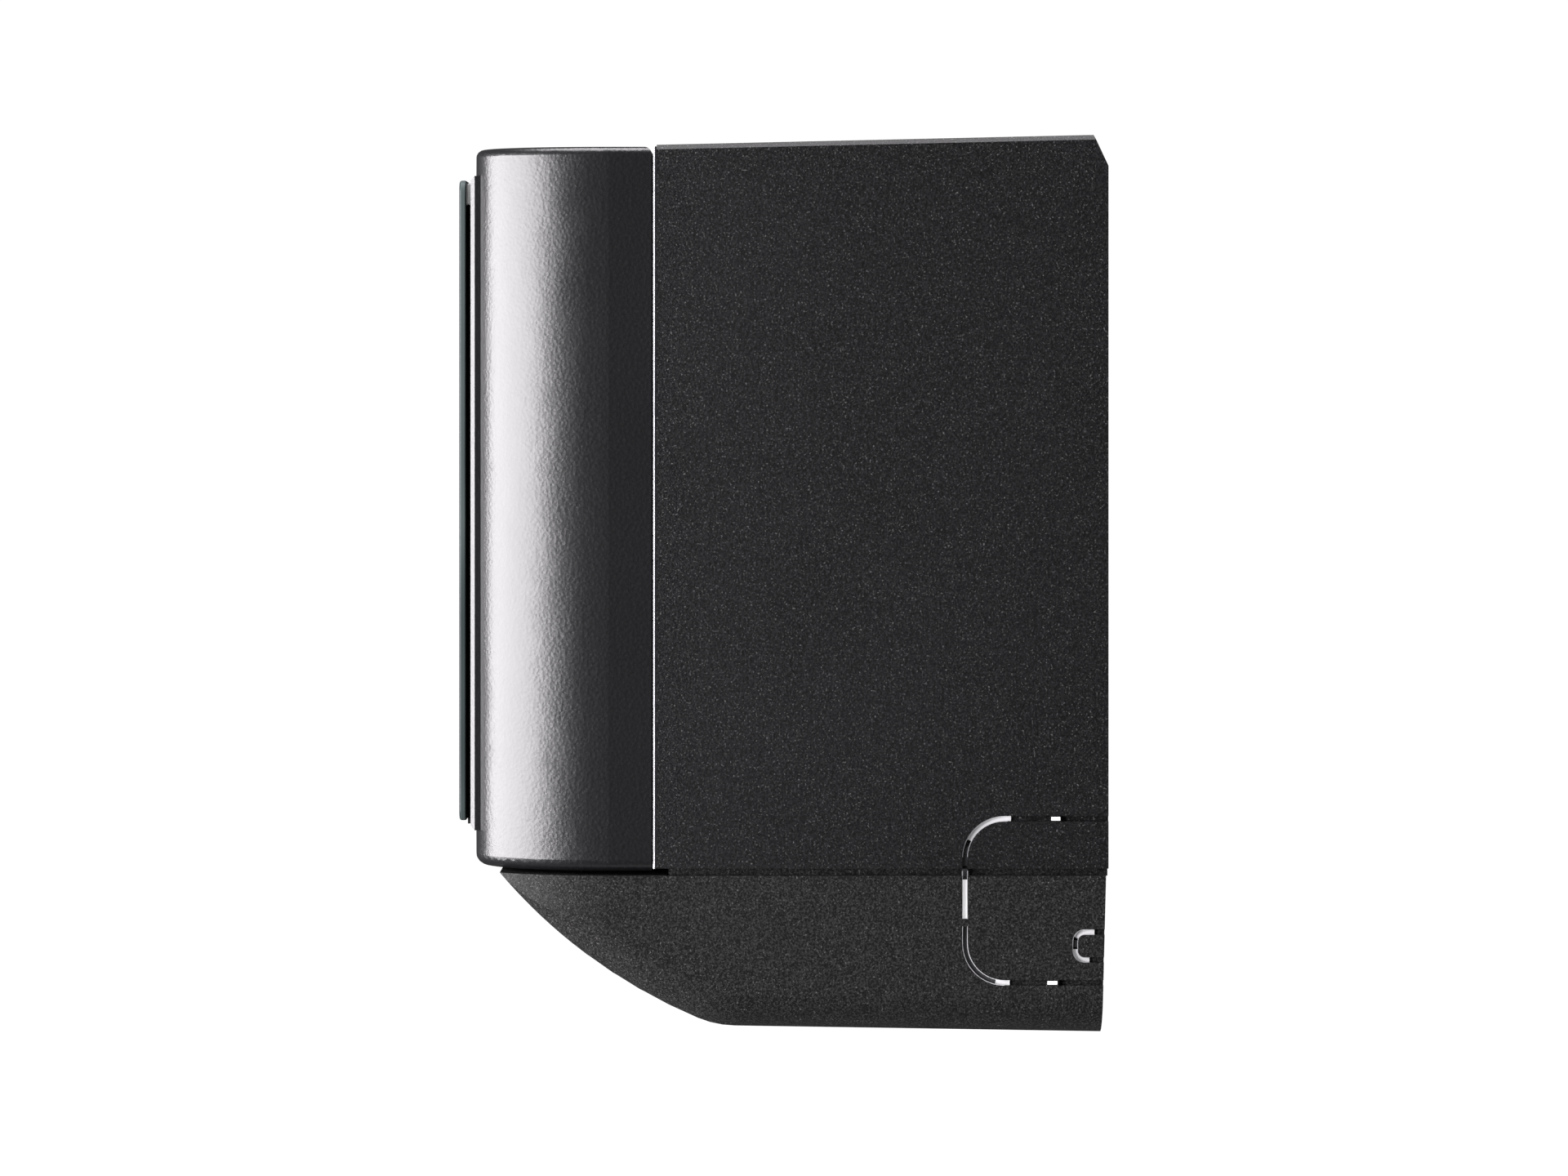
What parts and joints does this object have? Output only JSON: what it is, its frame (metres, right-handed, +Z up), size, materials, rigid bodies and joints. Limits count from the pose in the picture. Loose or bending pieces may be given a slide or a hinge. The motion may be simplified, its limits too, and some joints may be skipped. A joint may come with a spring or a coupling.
{
  "type": "wall-mounted air conditioner indoor unit",
  "caption": "Wall-hung split air conditioner indoor unit with hinged glass-faced front panel, outlet louver, swinging vanes, lift-out filters and pipe knock-outs.",
  "frame": {"origin": "middle of the four wall screw holes, on the wall plane", "axes": "+X along the wall to the right as seen from the room, +Y into the wall, +Z up"},
  "size_m": [0.87, 0.2143, 0.2948],
  "materials": {
    "cabinet_plastic": "fine spark texture",
    "shell_plastic": "fine spark texture",
    "panel_plastic": "semi-gloss pebble grain",
    "fascia_glass": "back-printed black glass with polished edge",
    "foam_tape": "closed-cell foam",
    "bright_trim": "satin bright",
    "steel": "zinc plated",
    "galvanised": "galvanised sheet",
    "inner_plastic": "plain moulded",
    "circuit_board": "solder mask",
    "fin_aluminium": "coated fins",
    "copper": "drawn copper",
    "brass": "turned brass",
    "bearing_bronze": "sintered bronze",
    "rubber": "moulded rubber",
    "hose_plastic": "ribbed hose",
    "fan_plastic": "glass-filled moulding",
    "vane_plastic": "plain moulded",
    "filter_plastic": "plain moulded",
    "motor_shell": "plated and painted",
    "box_plastic": "flame-retardant moulding"
  },
  "bodies": {
    "root": {"bearing_holder": "rubber", "cabinet": "cabinet_plastic", "casing_screws": "steel", "coil_bends": "copper", "control_board": "circuit_board", "control_box": "box_plastic", "control_cover": "galvanised", "display_board": "circuit_board", "drain_hose": "hose_plastic", "drain_pan": "inner_plastic", "drain_plug": "rubber", "evaporator_front": "fin_aluminium", "evaporator_rear": "fin_aluminium", "evaporator_upper": "fin_aluminium", "fan_bearing": "bearing_bronze", "fan_motor": "motor_shell", "flare_nuts": "brass", "gas_pipe": "copper", "hinge_eyes": "inner_plastic", "liquid_pipe": "copper", "louver_motor": "motor_shell", "lower_shell": "shell_plastic", "motor_bracket": "galvanised", "motor_cushion": "rubber", "mounting_plate": "galvanised", "outlet_frame": "inner_plastic", "rear_chassis": "inner_plastic", "terminal_block": "box_plastic", "trim_strips": "bright_trim", "tube_sheets": "galvanised", "vane_motors": "motor_shell"},
    "panel": {"front_panel": "panel_plastic", "glass_fascia": "fascia_glass", "fascia_tape": "foam_tape", "hinge_pins": "steel"},
    "louver": {"louver": "shell_plastic"},
    "fan": {"cross_flow_fan": "fan_plastic", "fan_shaft": "steel"},
    "filter_left": {"filter_left": "filter_plastic"},
    "filter_right": {"filter_right": "filter_plastic"},
    "button": {"service_button": "inner_plastic"},
    "vane_left_1": {"vane_left_1": "vane_plastic"},
    "vane_left_2": {"vane_left_2": "vane_plastic"},
    "vane_left_3": {"vane_left_3": "vane_plastic"},
    "vane_left_4": {"vane_left_4": "vane_plastic"},
    "vane_left_5": {"vane_left_5": "vane_plastic"},
    "vane_left_6": {"vane_left_6": "vane_plastic"},
    "vane_right_1": {"vane_right_1": "vane_plastic"},
    "vane_right_2": {"vane_right_2": "vane_plastic"},
    "vane_right_3": {"vane_right_3": "vane_plastic"},
    "vane_right_4": {"vane_right_4": "vane_plastic"},
    "vane_right_5": {"vane_right_5": "vane_plastic"},
    "vane_right_6": {"vane_right_6": "vane_plastic"},
    "link_rod_left": {"link_rod_left": "vane_plastic"},
    "link_rod_right": {"link_rod_right": "vane_plastic"}
  },
  "joints": [
    {"name": "panel_hinge", "type": "hinge", "parent": "root", "child": "panel", "pos_m": [0, -0.1521, 0.1409], "axis": [-1, 0, 0], "range_deg": [0, 65]},
    {"name": "louver_tilt", "type": "hinge", "parent": "root", "child": "louver", "pos_m": [0, -0.152, -0.1255], "axis": [1, 0, 0], "range_deg": [0, 80]},
    {"name": "fan_spin", "type": "hinge", "parent": "root", "child": "fan", "pos_m": [0, -0.1, -0.0275], "axis": [1, 0, 0], "continuous": true},
    {"name": "filter_left_lift", "type": "slide", "parent": "root", "child": "filter_left", "axis": [0, 0, 1], "range_m": [0, 0.06]},
    {"name": "filter_right_lift", "type": "slide", "parent": "root", "child": "filter_right", "axis": [0, 0, 1], "range_m": [0, 0.06]},
    {"name": "service_button_press", "type": "slide", "parent": "root", "child": "button", "axis": [0, 1, 0], "range_m": [0, 0.0015], "stiffness_N_per_m": 300},
    {"name": "vane_left_1_swing", "type": "hinge", "parent": "root", "child": "vane_left_1", "pos_m": [-0.342, -0.11165, -0.11419], "axis": [0, -0.6215, 0.7834], "range_deg": [-30, 30]},
    {"name": "vane_left_2_swing", "type": "hinge", "parent": "root", "child": "vane_left_2", "pos_m": [-0.288, -0.11165, -0.11419], "axis": [0, -0.6215, 0.7834], "range_deg": [-30, 30]},
    {"name": "vane_left_3_swing", "type": "hinge", "parent": "root", "child": "vane_left_3", "pos_m": [-0.234, -0.11165, -0.11419], "axis": [0, -0.6215, 0.7834], "range_deg": [-30, 30]},
    {"name": "vane_left_4_swing", "type": "hinge", "parent": "root", "child": "vane_left_4", "pos_m": [-0.18, -0.11165, -0.11419], "axis": [0, -0.6215, 0.7834], "range_deg": [-30, 30]},
    {"name": "vane_left_5_swing", "type": "hinge", "parent": "root", "child": "vane_left_5", "pos_m": [-0.126, -0.11165, -0.11419], "axis": [0, -0.6215, 0.7834], "range_deg": [-30, 30]},
    {"name": "vane_left_6_swing", "type": "hinge", "parent": "root", "child": "vane_left_6", "pos_m": [-0.072, -0.11165, -0.11419], "axis": [0, -0.6215, 0.7834], "range_deg": [-30, 30]},
    {"name": "link_rod_left_swing", "type": "hinge", "parent": "vane_left_1", "child": "link_rod_left", "pos_m": [-0.342, -0.15601, -0.07918], "axis": [0, -0.6215, 0.7834], "range_deg": [-30, 30]},
    {"name": "vane_right_1_swing", "type": "hinge", "parent": "root", "child": "vane_right_1", "pos_m": [-0.018, -0.11165, -0.11419], "axis": [0, -0.6215, 0.7834], "range_deg": [-30, 30]},
    {"name": "vane_right_2_swing", "type": "hinge", "parent": "root", "child": "vane_right_2", "pos_m": [0.036, -0.11165, -0.11419], "axis": [0, -0.6215, 0.7834], "range_deg": [-30, 30]},
    {"name": "vane_right_3_swing", "type": "hinge", "parent": "root", "child": "vane_right_3", "pos_m": [0.09, -0.11165, -0.11419], "axis": [0, -0.6215, 0.7834], "range_deg": [-30, 30]},
    {"name": "vane_right_4_swing", "type": "hinge", "parent": "root", "child": "vane_right_4", "pos_m": [0.144, -0.11165, -0.11419], "axis": [0, -0.6215, 0.7834], "range_deg": [-30, 30]},
    {"name": "vane_right_5_swing", "type": "hinge", "parent": "root", "child": "vane_right_5", "pos_m": [0.198, -0.11165, -0.11419], "axis": [0, -0.6215, 0.7834], "range_deg": [-30, 30]},
    {"name": "vane_right_6_swing", "type": "hinge", "parent": "root", "child": "vane_right_6", "pos_m": [0.252, -0.11165, -0.11419], "axis": [0, -0.6215, 0.7834], "range_deg": [-30, 30]},
    {"name": "link_rod_right_swing", "type": "hinge", "parent": "vane_right_1", "child": "link_rod_right", "pos_m": [-0.018, -0.15601, -0.07918], "axis": [0, -0.6215, 0.7834], "range_deg": [-30, 30]}
  ],
  "couplings": [
    {"joint": "vane_left_2_swing", "follows": "vane_left_1_swing", "ratio": 1},
    {"joint": "vane_left_3_swing", "follows": "vane_left_1_swing", "ratio": 1},
    {"joint": "vane_left_4_swing", "follows": "vane_left_1_swing", "ratio": 1},
    {"joint": "vane_left_5_swing", "follows": "vane_left_1_swing", "ratio": 1},
    {"joint": "vane_left_6_swing", "follows": "vane_left_1_swing", "ratio": 1},
    {"joint": "link_rod_left_swing", "follows": "vane_left_1_swing", "ratio": -1},
    {"joint": "vane_right_2_swing", "follows": "vane_right_1_swing", "ratio": 1},
    {"joint": "vane_right_3_swing", "follows": "vane_right_1_swing", "ratio": 1},
    {"joint": "vane_right_4_swing", "follows": "vane_right_1_swing", "ratio": 1},
    {"joint": "vane_right_5_swing", "follows": "vane_right_1_swing", "ratio": 1},
    {"joint": "vane_right_6_swing", "follows": "vane_right_1_swing", "ratio": 1},
    {"joint": "link_rod_right_swing", "follows": "vane_right_1_swing", "ratio": -1}
  ]
}
